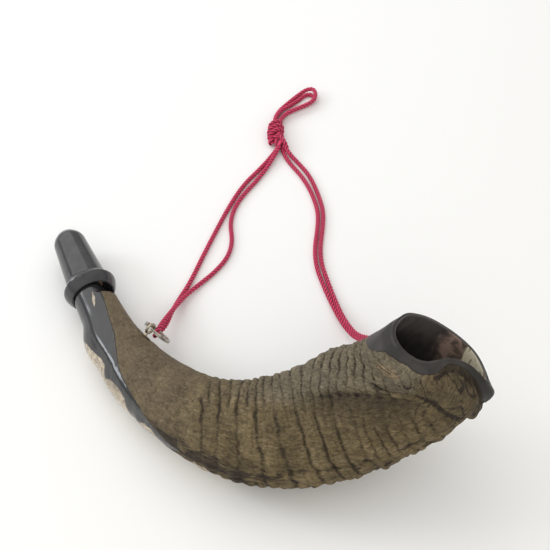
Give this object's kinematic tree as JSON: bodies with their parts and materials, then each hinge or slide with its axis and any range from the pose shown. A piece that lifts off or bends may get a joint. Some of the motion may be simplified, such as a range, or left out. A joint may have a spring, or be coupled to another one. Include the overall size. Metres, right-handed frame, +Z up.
{
  "type": "shofar",
  "caption": "Curved ram's horn trumpet with a ribbed body, turned mouthpiece, and a knotted carrying cord on two rings.",
  "frame": {"origin": "middle of the instrument's footprint, on the surface that it lies on; the cord is left out", "axes": "+Z up, the horn lying on its side; +X from the mouthpiece towards the bell; +Y towards the cord's hang loop"},
  "size_m": [0.2696, 0.3694, 0.0983],
  "materials": {
    "horn": "polished horn keratin, half natural, darkened to black at the neck",
    "mouthpiece": "polished black",
    "cork": "matt",
    "brass": "aged",
    "nickel": "worn nickel plate",
    "cord": "twisted crimson cord"
  },
  "bodies": {
    "instrument": {"horn": "horn", "mouthpiece": "mouthpiece", "neck_cork": "cork", "left_screw_eye": "brass", "left_eye_plate": "brass", "right_screw_eye": "brass", "right_eye_plate": "brass", "cord_left": "cord", "cord_right": "cord", "hang_loop_outer": "cord", "hang_loop_inner": "cord", "cord_knot": "cord"},
    "left_ring": {"left_split_ring": "nickel"},
    "right_ring": {"right_split_ring": "nickel"}
  },
  "joints": [
    {"name": "left_ring_swing", "type": "hinge", "parent": "instrument", "child": "left_ring", "pos_m": [-0.06276, 0.00918, 0.0289], "axis": [0.6665, -0.7455, 0], "range_deg": [-30, 55], "deforming": ["cord_left"]},
    {"name": "right_ring_swing", "type": "hinge", "parent": "instrument", "child": "right_ring", "pos_m": [0.08104, -0.01576, 0.05162], "axis": [0.9794, -0.2019, 0], "range_deg": [-40, 60], "deforming": ["cord_right"]}
  ]
}
